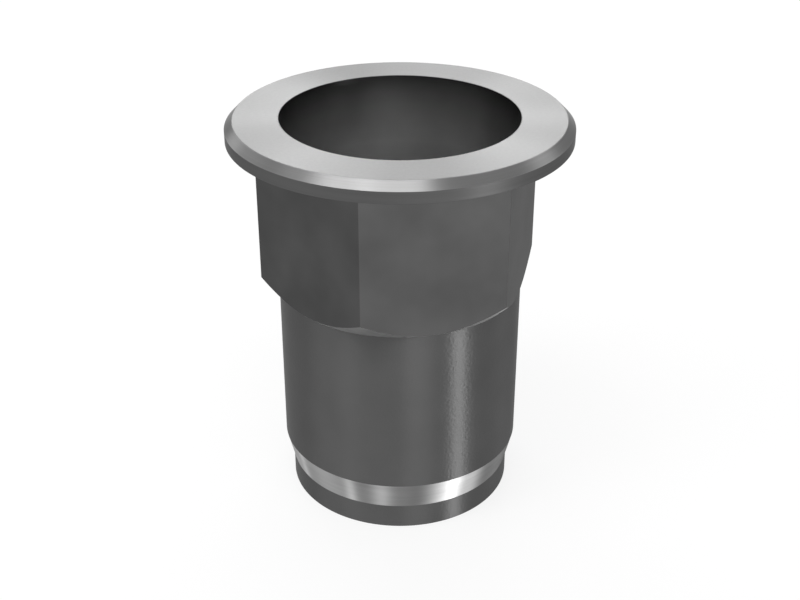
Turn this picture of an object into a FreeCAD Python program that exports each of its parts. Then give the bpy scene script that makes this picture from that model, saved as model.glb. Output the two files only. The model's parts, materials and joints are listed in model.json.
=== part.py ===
import FreeCAD, Part
import math
import os

import Sketcher

# A half-hexagon threaded insert, also called a blind rivet nut, made in one piece of steel.
# It stands on its lower end with the flange on top. The axis is Z, and the origin is the centre of
# the lower end face. Two of the six flats face -Y and +Y, so two of the hexagon's corners lie on X.

NODE = "threaded_insert"

# Driving sizes in millimetres and degrees. Each is one cell of the sheet, under the same name.
SIZES = {
    "overall_length": 18.05,  # flange's top face to the lower end face
    "flange_diameter": 15.0,
    "flange_thickness": 0.88,
    "flange_chamfer": 0.35,  # 45 degree chamfer round the flange's top edge
    "across_flats": 11.0,
    "hexagon_length": 6.1,  # under the flange, down to where the six corners end
    "lead_angle": 45.0,  # slope of the cone that cuts the corners off towards the shank
    "shank_relief": 0.02,  # how far the round shank stays inside the flats
    "taper_length": 1.34,
    "pilot_relief": 0.355,  # how far the round end that enters the hole first stays inside the flats
    "pilot_length": 1.15,
    "chamber_wall": 0.32,  # under the flats, thin because it folds when the insert is set
    "shoulder_angle": 60.0,  # of the chamber's conical floor to the axis, as a drill point leaves it
    "thread_minor_diameter": 6.65,  # bored for an M8 coarse thread
    "thread_length": 8.0,  # from the lower end face, with the countersink
    "mouth_depth": 0.8,  # countersink at the lower end, which opens to just over the thread's 8 mm
    "mouth_angle": 45.0,
}

# Radii that several features share, as formulas over the sheet.
FLANGE = "(sizes.flange_diameter / 2)"
FLAT = "(sizes.across_flats / 2)"
CORNER = f"({FLAT} / cos(30))"
SHANK = f"({FLAT} - sizes.shank_relief)"
PILOT = f"({FLAT} - sizes.pilot_relief)"
CHAMBER = f"({FLAT} - sizes.chamber_wall)"
BORE = "(sizes.thread_minor_diameter / 2)"
MOUTH = f"({BORE} + sizes.mouth_depth * tan(sizes.mouth_angle))"
# The round blank for the hexagon reaches halfway from its corners to the flange's rim.
BLANK = f"(({CORNER} + {FLANGE}) / 2)"

# Heights above the lower end face.
FOOT = "0"
TOP = "sizes.overall_length"
SEAT = f"({TOP} - sizes.flange_thickness)"
CORNER_END = f"({SEAT} - sizes.hexagon_length)"
LEAD_TOP = f"({CORNER_END} + ({BLANK} - {CORNER}) * tan(sizes.lead_angle))"
LEAD_FOOT = f"({CORNER_END} - ({CORNER} - {SHANK}) * tan(sizes.lead_angle))"
CHAMBER_FLOOR = f"(sizes.thread_length + ({CHAMBER} - {BORE}) / tan(sizes.shoulder_angle))"

ON_AXIS = "0"


def fill_sheet(doc):
    """Writes the driving sizes into a spreadsheet, one named cell each."""
    sheet = doc.addObject("Spreadsheet::Sheet", "sizes")
    for row, (name, number) in enumerate(SIZES.items(), start=1):
        sheet.set(f"A{row}", name)
        sheet.set(f"B{row}", str(number))
        sheet.setAlias(f"B{row}", name)
    doc.recompute()


def value(item, formula):
    """The number that a formula over the sheet gives now."""
    return float(item.evalExpression(formula))


def origin_plane(body, role):
    """One of the body's own origin planes."""
    return next(item for item in body.Origin.OriginFeatures if item.Role == role)


def new_sketch(body, name, role):
    """An empty sketch on one of the body's origin planes."""
    sketch = body.newObject("Sketcher::SketchObject", name)
    sketch.AttachmentSupport = (origin_plane(body, role), [""])
    sketch.MapMode = "FlatFace"
    return sketch


def bind(sketch, name, constraint, formula):
    """Adds a dimension to the sketch under a name and ties it to the sheet."""
    index = sketch.addConstraint(constraint)
    sketch.renameConstraint(index, name)
    sketch.setExpression(f"Constraints.{name}", formula)


def half_section(body, name, corners):
    """A closed outline beside the axis, from corners given as (label, radius, height).

    A side is vertical where its two ends share a radius, and level where they share a height.
    A corner gets a dimension only where the side before it hasn't already settled its place.
    """
    sketch = new_sketch(body, name, "XZ_Plane")
    points = []
    for _, radius, height in corners:
        points.append(FreeCAD.Vector(value(sketch, radius), value(sketch, height), 0))
    count = len(corners)
    for side in range(count):
        sketch.addGeometry(Part.LineSegment(points[side], points[(side + 1) % count]), False)
    for side in range(count):
        sketch.addConstraint(Sketcher.Constraint("Coincident", side, 2, (side + 1) % count, 1))
    for this, (label, radius, height) in enumerate(corners):
        before = (this - 1) % count
        _, radius_before, height_before = corners[before]
        if radius == ON_AXIS:
            sketch.addConstraint(Sketcher.Constraint("PointOnObject", this, 1, -2))
        elif radius == radius_before:
            sketch.addConstraint(Sketcher.Constraint("Vertical", before))
        else:
            across = Sketcher.Constraint("DistanceX", -1, 1, this, 1, points[this].x)
            bind(sketch, f"{label}_radius", across, radius)
        if height == FOOT:
            sketch.addConstraint(Sketcher.Constraint("PointOnObject", this, 1, -1))
        elif height == height_before:
            sketch.addConstraint(Sketcher.Constraint("Horizontal", before))
        else:
            above = Sketcher.Constraint("DistanceY", -1, 1, this, 1, points[this].y)
            bind(sketch, f"{label}_height", above, height)
    return sketch


def turned_outside(body):
    """The outside as one turned blank: pilot, taper, shank, round blank for the hexagon, flange."""
    sketch = half_section(
        body,
        "outside_outline",
        [
            ("centre_foot", ON_AXIS, FOOT),
            ("pilot_foot", PILOT, FOOT),
            ("pilot_top", PILOT, "sizes.pilot_length"),
            ("taper_top", SHANK, "sizes.pilot_length + sizes.taper_length"),
            ("lead_foot", SHANK, LEAD_FOOT),
            ("lead_top", BLANK, LEAD_TOP),
            ("seat_inside", BLANK, SEAT),
            ("seat_outside", FLANGE, SEAT),
            ("rim_top", FLANGE, f"{TOP} - sizes.flange_chamfer"),
            ("face_edge", f"{FLANGE} - sizes.flange_chamfer", TOP),
            ("centre_top", ON_AXIS, TOP),
        ],
    )
    blank = body.newObject("PartDesign::Revolution", "turned_outside")
    blank.Profile = sketch
    blank.ReferenceAxis = (sketch, ["V_Axis"])
    blank.Angle = 360
    return blank


def six_flats(body):
    """Cuts the flats from below, up to the flange's seat. The lead cone then meets each flat in a curve."""
    sketch = new_sketch(body, "hexagon_outline", "XY_Plane")
    sketch.setExpression("AttachmentOffset.Base.z", SEAT)
    reach = value(sketch, CORNER)
    clear_of_rim = value(sketch, "sizes.flange_diameter")
    corners = []
    for step in range(6):
        turn = math.radians(60 * step)
        corners.append(FreeCAD.Vector(reach * math.cos(turn), reach * math.sin(turn), 0))
    for side in range(6):
        sketch.addGeometry(Part.LineSegment(corners[side], corners[(side + 1) % 6]), False)
    middle = FreeCAD.Vector(0, 0, 0)
    along_axis = FreeCAD.Vector(0, 0, 1)
    through_corners = sketch.addGeometry(Part.Circle(middle, along_axis, reach), True)
    surround = sketch.addGeometry(Part.Circle(middle, along_axis, clear_of_rim), False)
    for side in range(6):
        sketch.addConstraint(Sketcher.Constraint("Coincident", side, 2, (side + 1) % 6, 1))
        sketch.addConstraint(Sketcher.Constraint("PointOnObject", side, 1, through_corners))
    for side in range(1, 6):
        sketch.addConstraint(Sketcher.Constraint("Equal", 0, side))
    # The first corner lies on the X axis, which turns two of the flats to face -Y and +Y.
    sketch.addConstraint(Sketcher.Constraint("PointOnObject", 0, 1, -1))
    for circle in (through_corners, surround):
        sketch.addConstraint(Sketcher.Constraint("Coincident", circle, 3, -1, 1))
    bind(sketch, "corner_radius", Sketcher.Constraint("Radius", through_corners, reach), CORNER)
    outside = Sketcher.Constraint("Radius", surround, clear_of_rim)
    bind(sketch, "cutter_reach", outside, "sizes.flange_diameter")
    flats = body.newObject("PartDesign::Pocket", "six_flats")
    flats.Profile = sketch
    flats.Type = "ThroughAll"
    return flats


def chamber_and_bore(body):
    """Bores it from end to end: chamber, conical shoulder, bore for the thread, countersunk mouth."""
    sketch = half_section(
        body,
        "inside_outline",
        [
            ("axis_foot", ON_AXIS, FOOT),
            ("mouth", MOUTH, FOOT),
            ("bore_foot", BORE, "sizes.mouth_depth"),
            ("bore_top", BORE, "sizes.thread_length"),
            ("chamber_floor", CHAMBER, CHAMBER_FLOOR),
            ("chamber_rim", CHAMBER, TOP),
            ("axis_top", ON_AXIS, TOP),
        ],
    )
    hollow = body.newObject("PartDesign::Groove", "chamber_and_bore")
    hollow.Profile = sketch
    hollow.ReferenceAxis = (sketch, ["V_Axis"])
    hollow.Angle = 360
    return hollow


def make_insert(doc):
    """The whole insert as one body, in the order it is made."""
    body = doc.addObject("PartDesign::Body", NODE)
    body.Label = NODE
    blank = turned_outside(body)
    doc.recompute()
    volume = blank.Shape.Volume
    for cut in (six_flats, chamber_and_bore):
        feature = cut(body)
        doc.recompute()
        # A cut that points away from the solid removes nothing and gives no error.
        if feature.Shape.Volume >= volume:
            raise RuntimeError(f"{feature.Name} removed nothing")
        print(f"{feature.Name}: removed {volume - feature.Shape.Volume:.1f} mm3")
        volume = feature.Shape.Volume
    return body


def check(doc, body):
    """Stops on any object that failed to recompute, and on a body that isn't one valid solid."""
    for item in doc.Objects:
        if "Invalid" in item.State or "Error" in item.State:
            raise RuntimeError(f"{item.Name} failed: {item.State}")
        if item.TypeId == "Sketcher::SketchObject" and not item.FullyConstrained:
            raise RuntimeError(f"{item.Name} isn't fully constrained")
    shape = body.Shape
    if shape.isNull() or not shape.isValid() or len(shape.Solids) != 1:
        raise RuntimeError(f"{body.Label} isn't one valid solid")


def main():
    doc = FreeCAD.newDocument("insert")
    fill_sheet(doc)
    body = make_insert(doc)
    check(doc, body)
    os.makedirs("parts", exist_ok=True)
    body.Shape.exportStep(f"parts/{body.Label}.step")
    box = body.Shape.BoundBox
    print(f"{body.Label}: {box.XLength:.3f} x {box.YLength:.3f} x {box.ZLength:.3f} mm")
    print(f"volume {body.Shape.Volume:.1f} mm3, {len(body.Shape.Faces)} faces")


main()
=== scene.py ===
import json
import math

import bmesh
import bpy
import numpy as np
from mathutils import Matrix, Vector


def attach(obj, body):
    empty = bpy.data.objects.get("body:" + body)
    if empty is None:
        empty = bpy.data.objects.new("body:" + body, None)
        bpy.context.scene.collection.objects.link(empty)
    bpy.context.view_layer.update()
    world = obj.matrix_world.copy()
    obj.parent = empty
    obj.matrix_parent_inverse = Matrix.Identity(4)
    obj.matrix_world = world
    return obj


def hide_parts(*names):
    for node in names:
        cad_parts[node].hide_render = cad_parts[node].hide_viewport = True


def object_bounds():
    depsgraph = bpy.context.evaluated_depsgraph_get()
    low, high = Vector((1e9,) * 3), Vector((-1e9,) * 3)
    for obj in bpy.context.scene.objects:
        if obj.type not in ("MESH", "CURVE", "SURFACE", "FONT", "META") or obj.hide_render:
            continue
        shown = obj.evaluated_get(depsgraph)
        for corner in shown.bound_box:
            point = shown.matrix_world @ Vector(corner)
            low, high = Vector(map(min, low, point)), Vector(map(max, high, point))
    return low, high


# A half-hexagon threaded insert, also called a blind rivet nut, standing on its lower end.
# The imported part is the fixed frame: it gives the overall box, the radii of the bores and the shank,
# and the height of the flange's seat. Lengths are in metres, and +Z runs up the bore.

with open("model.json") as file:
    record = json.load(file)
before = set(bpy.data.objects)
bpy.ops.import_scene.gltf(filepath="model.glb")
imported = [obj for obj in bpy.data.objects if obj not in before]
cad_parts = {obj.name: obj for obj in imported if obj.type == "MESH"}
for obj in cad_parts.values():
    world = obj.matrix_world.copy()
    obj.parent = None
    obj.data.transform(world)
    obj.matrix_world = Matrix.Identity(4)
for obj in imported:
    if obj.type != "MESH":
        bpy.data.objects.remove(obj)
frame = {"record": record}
cad_low, cad_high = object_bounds()
mounts = {mount["name"]: mount for mount in frame["record"]["mounts"]}
MM = 0.001


# The insert's outside. One piece of low-carbon steel: headed and turned from bar, its upper body
# pressed to a hexagon, and the whole then plated with zinc. A lead cone cuts the hexagon's corners
# off towards the shank, so each flat closes in a curve.

LENGTH = cad_high[2]
FLANGE_RADIUS = cad_high[0]
FLANGE_CHAMFER = 0.35 * MM
SEAT = mounts["flange_seat"]["pos_m"][2]
FLAT_RADIUS = 5.5 * MM
HEXAGON_LENGTH = 6.1 * MM
SHANK_RADIUS = mounts["shank"]["dims"]["r_mm"] * MM
PILOT_RADIUS = 5.145 * MM
PILOT_LENGTH = 1.15 * MM
TAPER_LENGTH = 1.34 * MM
CHAMBER_RADIUS = mounts["chamber"]["dims"]["r_mm"] * MM
CHAMBER_FLOOR = LENGTH - mounts["chamber"]["dims"]["length_mm"] * MM
MOUTH_DEPTH = 0.8 * MM
THREAD_MINOR = mounts["tapped_bore"]["dims"]["r_mm"] * MM
MOUTH_RADIUS = THREAD_MINOR + MOUTH_DEPTH
CORNER_END = SEAT - HEXAGON_LENGTH

# The die that pressed the hexagon rounded its corners. Each rounding's centre lies on the corner's
# ray, and the rounding meets the flats at a small angle either side of it.
SIXTH = math.radians(60)
CORNER_RADIUS = FLAT_RADIUS / math.cos(SIXTH / 2)
CORNER_ROUND = 0.03 * MM
ROUND_CENTRE = (FLAT_RADIUS - CORNER_ROUND) / math.cos(SIXTH / 2)
ROUND_END = SIXTH / 2 - math.atan(ROUND_CENTRE * math.sin(SIXTH / 2) / FLAT_RADIUS)

FLAT_STEPS = 48
# Columns over half a rounding, as shares of it. The last lies just past its end.
ROUND_COLUMNS = (0, 1 / 3, 2 / 3, 1, 1.25)


def mesh_columns():
    """Angles round the axis: even steps over each flat, with closer ones over the rounded corners."""
    rounding = ROUND_END * np.array(ROUND_COLUMNS)
    flat = np.linspace(0, SIXTH, FLAT_STEPS + 1)[1:-1]
    one_flat = np.concatenate([rounding, flat, SIXTH - rounding[:0:-1]])
    all_flats = one_flat[None, :] + SIXTH * np.arange(6)[:, None]
    return np.append(all_flats.ravel(), 2 * math.pi)


turn = mesh_columns()


def hexagon_radius(angle):
    """Distance from the axis to the hexagon's wall.

    Over a flat it is the flat radius over the cosine of the angle to the flat's middle. Over a
    corner it is where the ray leaves the rounding's circle, whose centre lies on the corner's ray.
    """
    from_corner = (angle + SIXTH / 2) % SIXTH - SIXTH / 2
    flat = FLAT_RADIUS / np.cos(SIXTH / 2 - np.abs(from_corner))
    aside = ROUND_CENTRE * np.sin(from_corner)
    rounded = ROUND_CENTRE * np.cos(from_corner) + np.sqrt(np.maximum(CORNER_ROUND**2 - aside**2, 0))
    return np.where(np.abs(from_corner) < ROUND_END, rounded, flat)


# Tumbling takes the burr off the rim's lower edge and the pilot's foot, and dulls the face's two
# edges. A row this far past each broken edge keeps the faces beside it flat to the eye.
EDGE_BREAK = 0.04 * MM
SHARP_BREAK = 0.015 * MM
EDGE_STEPS = 8
EDGE_SUPPORT = 0.02 * MM


def outside_outline():
    """Corners of the outline from the mouth up to the flange and down the chamber.

    Each is a radius, a height, the size of its edge break, and the finish of the surface after it.
    A radius or a height may be an array that changes from column to column.
    """
    flats = hexagon_radius(turn)
    lead_top = CORNER_END - (CORNER_RADIUS - flats)
    lead_foot = CORNER_END - (CORNER_RADIUS - SHANK_RADIUS)
    return [
        (MOUTH_RADIUS, 0.0, 0, "zinc_turned_body"),
        (PILOT_RADIUS, 0.0, EDGE_BREAK, "zinc_turned_body"),
        (PILOT_RADIUS, PILOT_LENGTH, 0, "zinc_turned_taper_painted_light"),
        (SHANK_RADIUS, PILOT_LENGTH + TAPER_LENGTH, 0, "zinc_turned_body"),
        (SHANK_RADIUS, lead_foot, 0, "zinc_turned_lead"),
        (flats, lead_top, 0, "zinc_pressed_flat"),
        (flats, SEAT, 0, "zinc_turned_body"),
        (FLANGE_RADIUS, SEAT, EDGE_BREAK, "zinc_turned_rim"),
        (FLANGE_RADIUS, LENGTH - FLANGE_CHAMFER, 0, "zinc_turned_chamfer"),
        (FLANGE_RADIUS - FLANGE_CHAMFER, LENGTH, SHARP_BREAK, "zinc_faced_flange"),
        (CHAMBER_RADIUS, LENGTH, SHARP_BREAK, "zinc_bored_chamber"),
        (CHAMBER_RADIUS, CHAMBER_FLOOR, 0, "zinc_tapped_thread"),
    ]


def broken_edge(before, here, after, size):
    """A parabola from size before the corner to size after it, with a support point past each end.

    Its points are the two ends and the corner, weighted by the squares and the product of s and 1 - s.
    """
    into = (here - before) / np.linalg.norm(here - before)
    out = (after - here) / np.linalg.norm(after - here)
    first = here - size * into
    last = here + size * out
    s = np.linspace(0, 1, EDGE_STEPS + 1)[:, None]
    curve = (1 - s) ** 2 * first + 2 * s * (1 - s) * here + s**2 * last
    return np.vstack([first - EDGE_SUPPORT * into, curve, last + EDGE_SUPPORT * out])


def turned_rows(corners):
    """Carries an outline round the axis: rows of radius, height and angle, and the finish after each.

    An edge is broken along the lines to the corners before and after it, at their mean radii.
    """
    middles = [np.array([np.mean(radius), np.mean(height)]) for radius, height, _, _ in corners]
    rows = []
    finishes = []
    for place, (radius, height, edge_break, finish) in enumerate(corners):
        points = [(radius, height)]
        if edge_break:
            points = broken_edge(*middles[place - 1 : place + 2], edge_break)
        for point in points:
            rows.append(np.stack(np.broadcast_arrays(*point, turn)))
            finishes.append(finish)
    return rows, finishes


# The thread. M8 x 1.25 right-hand, cut with a tap into the lower end, between the countersunk mouth
# and the chamber's conical floor, where it runs out.

THREAD_MAJOR = 4.0 * MM
THREAD_PITCH = 1.25 * MM
ROOT_FLAT = THREAD_PITCH / 8
FLANK_ANGLE = math.radians(30)
SHOULDER_ANGLE = math.radians(60)
THREAD_TOP = CHAMBER_FLOOR - (CHAMBER_RADIUS - THREAD_MINOR) / math.tan(SHOULDER_ANGLE)
# The tap's rows end this far outside the root, on the chamber's conical floor.
PAST_THE_ROOT = 0.1 * MM
RUN_OUT = THREAD_TOP + (THREAD_MAJOR + PAST_THE_ROOT - THREAD_MINOR) / math.tan(SHOULDER_ANGLE)
# Sixteen rows a turn put one on each edge of the root and the crest.
ROWS_PER_TURN = 16


def thread_radius(height, angle):
    """Radius of the tapped wall: a trapezoid wave along the axis that climbs one pitch a turn.

    The wave is the distance along the axis from the nearest groove's middle, less half the root's
    flat, over the tangent of the flank angle, taken off the major radius and held between the major
    and the minor radius. The countersink and the shoulder's cone open it out at its two ends.
    """
    climb = height / THREAD_PITCH - angle / (2 * math.pi)
    from_groove = np.abs(climb - np.round(climb)) * THREAD_PITCH
    flank = (from_groove - ROOT_FLAT / 2) / math.tan(FLANK_ANGLE)
    thread = np.clip(THREAD_MAJOR - flank, THREAD_MINOR, THREAD_MAJOR)
    countersink = MOUTH_RADIUS - height
    shoulder = THREAD_MINOR + (height - THREAD_TOP) * math.tan(SHOULDER_ANGLE)
    return np.maximum(thread, np.maximum(countersink, shoulder))


def thread_rows():
    """Rows that follow the thread's helix down from its run-out to the mouth, held at both ends.

    A row's height is the pitch times the turns left below it, plus the angle's share of a turn.
    """
    turns = math.ceil(RUN_OUT / THREAD_PITCH)
    stations = np.arange((turns + 1) * ROWS_PER_TURN + 1) / ROWS_PER_TURN
    height = THREAD_PITCH * (turns - stations[:, None] + turn[None, :] / (2 * math.pi))
    height = np.clip(height, 0, RUN_OUT)
    angle = np.broadcast_to(turn, height.shape)
    return np.stack([thread_radius(height, angle), height, angle], axis=1)


# The insert in one mesh, with its marks. Each flat's colour is scaled by its own painted light and shade,
# so a flat is lighter or darker by the side it faces to the light. Their tones go round from +X towards +Y,
# so the second flat faces +Y, and the fifth faces -Y, which is the front.

FLAT_PAINTED_LIGHT = (1.0, 0.92, 1.04, 0.85, 1.1, 0.63)

# Painted highlights and shade round the taper, in streaks that are the same on either half. The taper's
# colour is lighter where a highlight shows and darker where none falls. Each is its middle's azimuth from
# the front to the right and its half width, in degrees, and how much brighter than the rest it is, or
# darker where that is negative.
TAPER_PAINTED_STREAKS = (
    (-78, 14, 0.45),
    (-72, 3, 0.5),
    (-54, 13, 0.34),
    (-40, 3, 0.6),
    (-24, 5, 0.75),
    (-7, 6, -0.2),
    (8, 7, 2.0),
    (23, 6, 1.15),
    (66, 12, -0.35),
)
TAPER_PAINTED_BASE_LEVEL = 0.68


def burnish(angle):
    """Painted light round the taper: a plain level and a bell curve for each streak, on either half."""
    azimuth = np.degrees(angle) + 90
    level = np.full_like(angle, TAPER_PAINTED_BASE_LEVEL)
    for middle, width, rise in TAPER_PAINTED_STREAKS:
        from_middle = (azimuth - middle + 90) % 180 - 90
        level += rise * np.exp(-((from_middle / width) ** 2))
    return level


def insert_mesh():
    """The whole surface as one closed grid of faces, each with a finish.

    Its columns go round the axis, and its rows go up the outside and back down inside. A point lies at
    its row's radius times the cosine and sine of its angle, and at its row's height.
    """
    outer_rows, finishes = turned_rows(outside_outline())
    rows = np.concatenate([np.stack(outer_rows), thread_rows()])
    radius, height, angle = rows[:, 0], rows[:, 1], rows[:, 2]
    points = np.stack([radius * np.cos(angle), radius * np.sin(angle), height], axis=-1)
    index = np.arange(radius.size).reshape(radius.shape)
    here, above = index[:-1, :-1], index[1:, :-1]
    beside, across = index[:-1, 1:], index[1:, 1:]
    faces = np.stack([here, beside, across, above], axis=-1).reshape(-1, 4)
    mesh = bpy.data.meshes.new("insert_body")
    mesh.from_pydata(points.reshape(-1, 3), [], faces)
    names = list(dict.fromkeys(finishes))
    finishes += [finishes[-1]] * (len(rows) - 1 - len(finishes))
    by_row = np.array([names.index(finish) for finish in finishes], dtype=np.int32)
    for name in names:
        mesh.materials.append(bpy.data.materials.new(name))
    mesh.polygons.foreach_set("material_index", np.repeat(by_row, len(turn) - 1))
    # The flats' painted light and shade, one value for each flat.
    painted_flat_light = mesh.attributes.new("flat_tone", "FLOAT", "FACE")
    by_column = np.repeat(FLAT_PAINTED_LIGHT, (len(turn) - 1) // 6)
    painted_flat_light.data.foreach_set("value", np.tile(by_column, len(rows) - 1).astype(np.float32))
    # The taper's painted highlights and shade, one value for each column.
    streaks = mesh.attributes.new("burnish", "FLOAT", "POINT")
    streaks.data.foreach_set("value", np.tile(burnish(turn), len(rows)).astype(np.float32))
    return mesh


WELD_DISTANCE = 0.0005 * MM
EMPTY_EDGE = WELD_DISTANCE / 10
# Where the surface turns by more than this, its edge is drawn sharp.
TRUE_EDGE = math.radians(12)


def weld(mesh):
    """Joins the first column to the last and the mouth's rows to each other, and drops empty faces."""
    work = bmesh.new()
    work.from_mesh(mesh)
    bmesh.ops.remove_doubles(work, verts=work.verts, dist=WELD_DISTANCE)
    bmesh.ops.dissolve_degenerate(work, edges=work.edges, dist=EMPTY_EDGE)
    work.to_mesh(mesh)
    work.free()


mesh = insert_mesh()
weld(mesh)
mesh.shade_smooth()
mesh.set_sharp_from_angle(angle=TRUE_EDGE)
insert = bpy.data.objects.new("insert_body", mesh)
bpy.context.scene.collection.objects.link(insert)
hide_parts("threaded_insert")
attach(insert, "root")


# The finishes. All are bright zinc over steel, and what differs is how the steel under it was made: turned,
# faced, pressed, bored or tapped. On the flats, the taper, the lead slivers and the chamber the colour also
# carries painted light and shade. The plating follows every mark that the tool left. It stays grey at a
# grazing look, where a bare metal would turn white.

GRAZING_TINT = "#C8C8C8"


def linear(hex_colour):
    """A colour written as sRGB hex, as the linear values that a shader takes."""
    channels = np.array([int(hex_colour[i : i + 2], 16) for i in (1, 3, 5)]) / 255
    low = channels / 12.92
    high = ((channels + 0.055) / 1.055) ** 2.4
    return (*np.where(channels <= 0.04045, low, high), 1.0)


def add_node(tree, kind, settings=None, **inputs):
    """Adds one node, with its settings, which are its own properties, and its inputs.

    An input goes by its name, with _ for a space, or by its place, as i0. It takes a value or a link.
    """
    node = tree.nodes.new(kind)
    for name, value in (settings or {}).items():
        setattr(node, name, value)
    for name, value in inputs.items():
        key = int(name[1:]) if name[0] == "i" and name[1:].isdigit() else name.replace("_", " ")
        if isinstance(value, bpy.types.NodeSocket):
            tree.links.new(value, node.inputs[key])
        else:
            node.inputs[key].default_value = value
    return node


def plated(name, colour, roughness):
    """A finish's material with the plating's colour and roughness, and the place on the insert."""
    material = bpy.data.materials[name]
    material.use_nodes = True
    tree = material.node_tree
    shader = tree.nodes["Principled BSDF"]
    shader.inputs["Base Color"].default_value = linear(colour)
    shader.inputs["Metallic"].default_value = 1.0
    shader.inputs["Roughness"].default_value = roughness
    shader.inputs["Specular Tint"].default_value = linear(GRAZING_TINT)
    return tree, shader, add_node(tree, "ShaderNodeTexCoord").outputs["Object"]


def across_marks(tree, shader, place, stretch, radial=False):
    """Stretches the highlights across the tool's circular marks: up the walls, or out over a face."""
    shader.inputs["Anisotropic"].default_value = stretch
    if radial:
        out = add_node(tree, "ShaderNodeVectorMath", {"operation": "MULTIPLY"}, i0=place, i1=(1, 1, 0))
    else:
        out = add_node(tree, "ShaderNodeCombineXYZ", Z=1.0)
    tree.links.new(out.outputs[0], shader.inputs["Tangent"])


def turning_marks(tree, place, feed, runs):
    """Noise drawn out round the axis: one feed of the tool wide, and so many runs to a turn.

    Its coordinates are the cosine and sine of the angle, and twice the radius less the height, which
    changes along every turned face, flat, cone or wall.
    """
    flat = add_node(tree, "ShaderNodeVectorMath", {"operation": "MULTIPLY"}, i0=place, i1=(1, 1, 0))
    round_axis = add_node(tree, "ShaderNodeVectorMath", {"operation": "NORMALIZE"}, i0=flat.outputs[0])
    radius = add_node(tree, "ShaderNodeVectorMath", {"operation": "LENGTH"}, i0=flat.outputs[0])
    apart = add_node(tree, "ShaderNodeSeparateXYZ", i0=place)
    down = add_node(tree, "ShaderNodeMath", {"operation": "MULTIPLY"}, i0=apart.outputs["Z"], i1=-1.0)
    along = add_node(
        tree,
        "ShaderNodeMath",
        {"operation": "MULTIPLY_ADD"},
        i0=radius.outputs["Value"],
        i1=2.0,
        i2=down.outputs[0],
    )
    lifted = add_node(tree, "ShaderNodeCombineXYZ", Z=along.outputs[0])
    spread = add_node(
        tree,
        "ShaderNodeVectorMath",
        {"operation": "SCALE"},
        i0=lifted.outputs[0],
        Scale=1 / feed,
    )
    joined = add_node(
        tree,
        "ShaderNodeVectorMath",
        {"operation": "MULTIPLY_ADD"},
        i0=round_axis.outputs[0],
        i1=(runs / (2 * math.pi),) * 3,
        i2=spread.outputs[0],
    )
    return add_node(tree, "ShaderNodeTexNoise", Vector=joined.outputs[0], Scale=1.0, Detail=2.0)


def blotches(tree, place, size, detail=2.0):
    """Noise of one size all over, in metres."""
    return add_node(tree, "ShaderNodeTexNoise", Vector=place, Scale=1 / size, Detail=detail)


# Nearly all of a noise lies between these two.
NOISE_LOW = 0.3
NOISE_HIGH = 0.7


def between(tree, noise, low, high):
    """Carries a noise's usual range to a low and a high value."""
    return add_node(
        tree,
        "ShaderNodeMapRange",
        Value=noise.outputs["Fac"],
        From_Min=NOISE_LOW,
        From_Max=NOISE_HIGH,
        To_Min=low,
        To_Max=high,
    ).outputs["Result"]


def shade(tree, shader, *values):
    """Multiplies the finish's colour by values that change over the surface."""
    tinted = shader.inputs["Base Color"].default_value[:3]
    for value in values:
        scaled = add_node(tree, "ShaderNodeVectorMath", {"operation": "SCALE"}, i0=tinted, Scale=value)
        tinted = scaled.outputs[0]
    tree.links.new(tinted, shader.inputs["Base Color"])


def relief(tree, shader, noise, depth):
    """Raises the surface by a noise, to a depth in metres."""
    bump = add_node(tree, "ShaderNodeBump", Height=noise.outputs["Fac"], Distance=depth)
    tree.links.new(bump.outputs["Normal"], shader.inputs["Normal"])


# The flange's face. Faced on the lathe, so it is the brightest zinc: pale and satin, with rings too
# fine to tell apart and a faint crystalline grain. The zinc's crystals are a few hundredths of a
# millimetre across, which is too fine to show, so the grain is drawn as coarse as it needs to show.
FACING_FEED = 0.14 * MM
ZINC_GRAIN = 0.14 * MM
tree, shader, place = plated("zinc_faced_flange", "#979797", 0.42)
across_marks(tree, shader, place, 0.92, radial=True)
rings = turning_marks(tree, place, FACING_FEED, 9)
grain = blotches(tree, place, ZINC_GRAIN)
shade(tree, shader, between(tree, grain, 0.97, 1.03))
relief(tree, shader, rings, 0.0008 * MM)

# The flange's chamfer. Turned last, with a sharp tool, so it shines, and the tool's rings show as
# fine streaks.
TURNING_FEED = 0.12 * MM
tree, shader, place = plated("zinc_turned_chamfer", "#838383", 0.33)
across_marks(tree, shader, place, 0.7)
rings = turning_marks(tree, place, TURNING_FEED, 6)
shade(tree, shader, between(tree, rings, 0.96, 1.04))
relief(tree, shader, rings, 0.001 * MM)

# The taper at the foot. Turned like the chamfer. Its colour carries painted highlights and shade in streaks
# round the axis.
tree, shader, place = plated("zinc_turned_taper_painted_light", "#A5A5A5", 0.5)
across_marks(tree, shader, place, 1.0)
rings = turning_marks(tree, place, TURNING_FEED, 12)
# Painted highlights and shade, in streaks round the taper.
streaks = add_node(tree, "ShaderNodeAttribute", {"attribute_name": "burnish"})
shade(tree, shader, between(tree, rings, 0.93, 1.07), streaks.outputs["Fac"])
relief(tree, shader, rings, 0.001 * MM)

# The shank, the pilot end and the flange's underside. Turned, then dulled by the plating to a dark
# satin grey. The zinc's grain breaks their highlights up into a fine mottle.
tree, shader, place = plated("zinc_turned_body", "#616161", 0.45)
across_marks(tree, shader, place, 0.97)
mottle = blotches(tree, place, ZINC_GRAIN, detail=3.0)
cloud = blotches(tree, place, 2.2 * MM)
shade(tree, shader, between(tree, cloud, 0.96, 1.04))
relief(tree, shader, mottle, 0.0075 * MM)

# The flange's rim. Turned and dulled like the shank but rougher, so its light is spread further
# and stays even.
tree, shader, place = plated("zinc_turned_rim", "#5C5C5C", 0.5)
across_marks(tree, shader, place, 0.6)
rings = turning_marks(tree, place, TURNING_FEED, 5)
shade(tree, shader, between(tree, rings, 0.95, 1.05))
relief(tree, shader, rings, 0.001 * MM)

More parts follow.
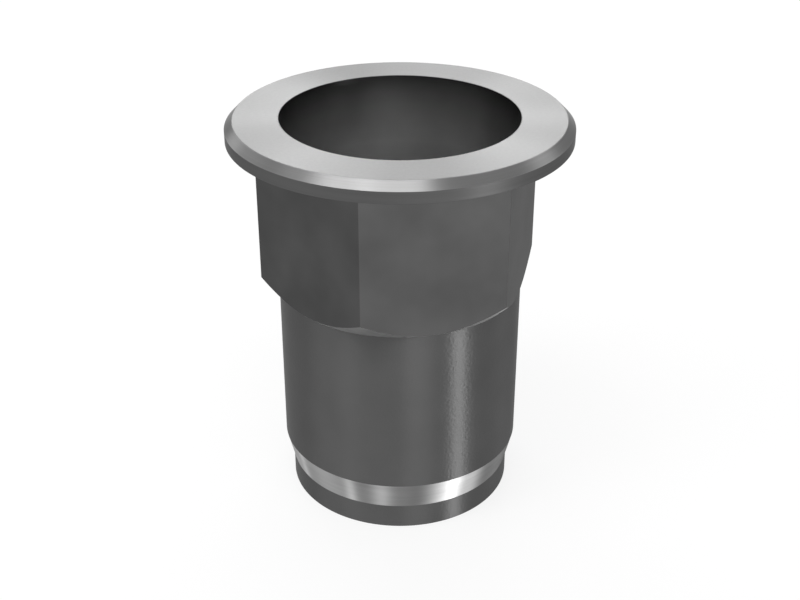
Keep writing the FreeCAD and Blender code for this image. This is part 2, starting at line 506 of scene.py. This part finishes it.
# The hexagon's flats. Pressed in a die, so they have no tool marks, only a soft clouding a few
# millimetres across where the steel flowed.
tree, shader, place = plated("zinc_pressed_flat", "#545454", 0.42)
cloud = blotches(tree, place, 2.4 * MM)
# Each flat's colour is also scaled by its painted light and shade, lighter or darker by the side it faces.
painted_flat_light = add_node(tree, "ShaderNodeAttribute", {"attribute_name": "flat_tone"})
shade(tree, shader, between(tree, cloud, 0.88, 1.12), painted_flat_light.outputs["Fac"])
relief(tree, shader, cloud, 0.02 * MM)

# The lead cone's curved slivers, between the flats and the shank. The hexagon's die only grazes them. Their
# pale colour is partly the turned zinc's own and partly painted highlight, for the thin bright line along
# them.
tree, shader, place = plated("zinc_turned_lead", "#BABABA", 0.4)
mottle = blotches(tree, place, 0.4 * MM, detail=3.0)
shade(tree, shader, between(tree, mottle, 0.92, 1.08))
relief(tree, shader, mottle, 0.004 * MM)

# The chamber's bored wall. Bored smooth, so it mirrors its own dark inside. Its colour is darkest at the
# rim and lightens over the first few millimetres down, which is painted shade under the rim, and its pale
# colour below that is partly painted light on the deep wall.
RIM_SHADE_DEPTH = 3.2 * MM
RIM_PAINTED_SHADE = 0.12
tree, shader, place = plated("zinc_bored_chamber", "#DFDFDF", 0.28)
across_marks(tree, shader, place, 0.5)
cloud = blotches(tree, place, 2.6 * MM)
apart = add_node(tree, "ShaderNodeSeparateXYZ", i0=place)
# Painted shade: the colour falls towards the rim.
bright = add_node(
    tree,
    "ShaderNodeMapRange",
    Value=apart.outputs["Z"],
    From_Min=LENGTH - RIM_SHADE_DEPTH,
    From_Max=LENGTH,
    To_Min=1.0,
    To_Max=RIM_PAINTED_SHADE,
)
shade(tree, shader, between(tree, cloud, 0.92, 1.08), bright.outputs["Result"])

# The chamber's conical floor, the tapped thread and the mouth's countersink. The zinc is thinner and
# darker there, where the plating bath hardly reached.
tree, shader, place = plated("zinc_tapped_thread", "#6A6A6A", 0.35)
mottle = blotches(tree, place, 0.5 * MM)
shade(tree, shader, between(tree, mottle, 0.9, 1.1))


# The camera stands where the photograph was taken from: 15 degrees to the left of the front flat and
# 28.4 degrees above the middle of the insert, which is in the middle of the picture.

CAMERA_AZIMUTH = -15
CAMERA_ELEVATION = 28.4
CAMERA_DISTANCE = 58.7 * MM
NEAREST_SEEN = 1 * MM
FARTHEST_SEEN = 5.0
# The lens and the sensor's width, in millimetres as a camera states them.
LENS = 57.31
SENSOR = 36.0


def towards(azimuth, elevation):
    """Unit vector at an azimuth from the front, to the right, and an elevation, in degrees.

    It is the sine and the minus cosine of the azimuth, both times the cosine of the elevation, and
    the sine of the elevation.
    """
    a, e = math.radians(azimuth), math.radians(elevation)
    return np.array([math.sin(a) * math.cos(e), -math.cos(a) * math.cos(e), math.sin(e)])


def aimed(thing, target, azimuth, elevation, distance):
    """Puts a camera or a lamp at a distance from the target, looking at it."""
    thing.location = target + distance * towards(azimuth, elevation)
    thing.rotation_euler = (math.radians(90 - elevation), 0, math.radians(azimuth))
    bpy.context.scene.collection.objects.link(thing)


centre = np.array([0.0, 0.0, LENGTH / 2])
camera = bpy.data.objects.new("camera", bpy.data.cameras.new("camera"))
camera.data.lens = LENS
camera.data.sensor_width = SENSOR
camera.data.clip_start = NEAREST_SEEN
camera.data.clip_end = FARTHEST_SEEN
aimed(camera, centre, CAMERA_AZIMUTH, CAMERA_ELEVATION, CAMERA_DISTANCE)
bpy.context.scene.camera = camera


# The floor. Pale, matt and wide enough to run out of the picture. Part of what the camera and the
# metal see of it is plain white, which thins the shadows.

FLOOR_RADIUS = 1.2
FLOOR_SIDES = 128
FLOOR_COLOUR = "#E6E6E6"
WHITE_SHARE = 0.8

around = np.linspace(0, 2 * math.pi, FLOOR_SIDES, endpoint=False)
rim = np.stack([FLOOR_RADIUS * np.cos(around), FLOOR_RADIUS * np.sin(around), 0 * around], axis=-1)
floor_mesh = bpy.data.meshes.new("floor")
floor_mesh.from_pydata(rim, [], [range(len(rim))])
floor = bpy.data.objects.new("floor", floor_mesh)
bpy.context.scene.collection.objects.link(floor)
floor_paint = bpy.data.materials.new("pale_matt_floor")
floor_paint.use_nodes = True
tree = floor_paint.node_tree
paint = tree.nodes["Principled BSDF"]
paint.inputs["Base Color"].default_value = linear(FLOOR_COLOUR)
paint.inputs["Roughness"].default_value = 1.0
paint.inputs["Specular IOR Level"].default_value = 0.0
seen = add_node(tree, "ShaderNodeLightPath").outputs
looks = add_node(tree, "ShaderNodeMath", i0=seen["Is Camera Ray"], i1=seen["Is Glossy Ray"])
looks = add_node(tree, "ShaderNodeMath", i0=looks.outputs[0], i1=seen["Is Transmission Ray"])
share = add_node(tree, "ShaderNodeMath", {"operation": "MULTIPLY"}, i0=looks.outputs[0], i1=WHITE_SHARE)
white = add_node(tree, "ShaderNodeEmission", Strength=1.0)
mixed = add_node(tree, "ShaderNodeMixShader", i0=share.outputs[0], i1=paint.outputs[0], i2=white.outputs[0])
tree.links.new(mixed.outputs[0], tree.nodes["Material Output"].inputs["Surface"])
floor_mesh.materials.append(floor_paint)


# The light. Soft boxes all round and a pale surround, which together light a white surface to about
# white and no more. Each box stands where a highlight in the photograph places it.

LAMP_DISTANCE = 250 * MM
SURROUND_COLOUR = "#C7C7C7"


def soft_box(name, azimuth, elevation, width, height, radiance):
    """A rectangular soft box, its width and height given as the angles that the insert sees.

    A side is twice the distance times the tangent of half its angle, and the power is pi times the
    radiance times the area.
    """
    lamp = bpy.data.lights.new(name, "AREA")
    lamp.shape = "RECTANGLE"
    lamp.size = 2 * LAMP_DISTANCE * math.tan(math.radians(width / 2))
    lamp.size_y = 2 * LAMP_DISTANCE * math.tan(math.radians(height / 2))
    lamp.energy = radiance * math.pi * lamp.size * lamp.size_y
    aimed(bpy.data.objects.new(name, lamp), np.zeros(3), azimuth, elevation, LAMP_DISTANCE)


# From above, for the flats and the middle of the chamfer.
soft_box("key_left", -73, 57, 16, 44, 3.5)
soft_box("key_front", -24, 66, 30, 24, 3.4)
soft_box("key_right", 4, 66, 12, 24, 0.7)
# Small and bright, just above the floor, for the stripe down the shank and the taper.
soft_box("strip_right", 38, 3, 11, 6, 44.0)
# Low round the front and the sides, for the shank, the taper and the two ends of the chamfer.
soft_box("low_middle", 3, 21, 24, 18, 2.8)
soft_box("low_left", -92, 28, 20, 34, 1.0)
soft_box("low_right", 96, 28, 16, 26, 1.2)
soft_box("side_left", -149, 16, 16, 14, 1.2)
# Behind, where the flange's face mirrors them towards the front.
soft_box("back_left", -140, 26, 34, 30, 0.4)
soft_box("back_high_left", -175, 43, 20, 22, 1.6)
soft_box("back_middle", 165, 22, 20, 16, 4.6)
soft_box("back_high_middle", 165, 50, 20, 20, 0.85)
soft_box("back_steep_left", -164, 50, 16, 16, 2.7)
soft_box("back_high_right", 145, 43, 20, 22, 3.2)

surround = bpy.data.worlds.new("studio")
surround.use_nodes = True
surround.node_tree.nodes["Background"].inputs["Color"].default_value = linear(SURROUND_COLOUR)
bpy.context.scene.world = surround
bpy.context.scene.view_settings.view_transform = "Standard"
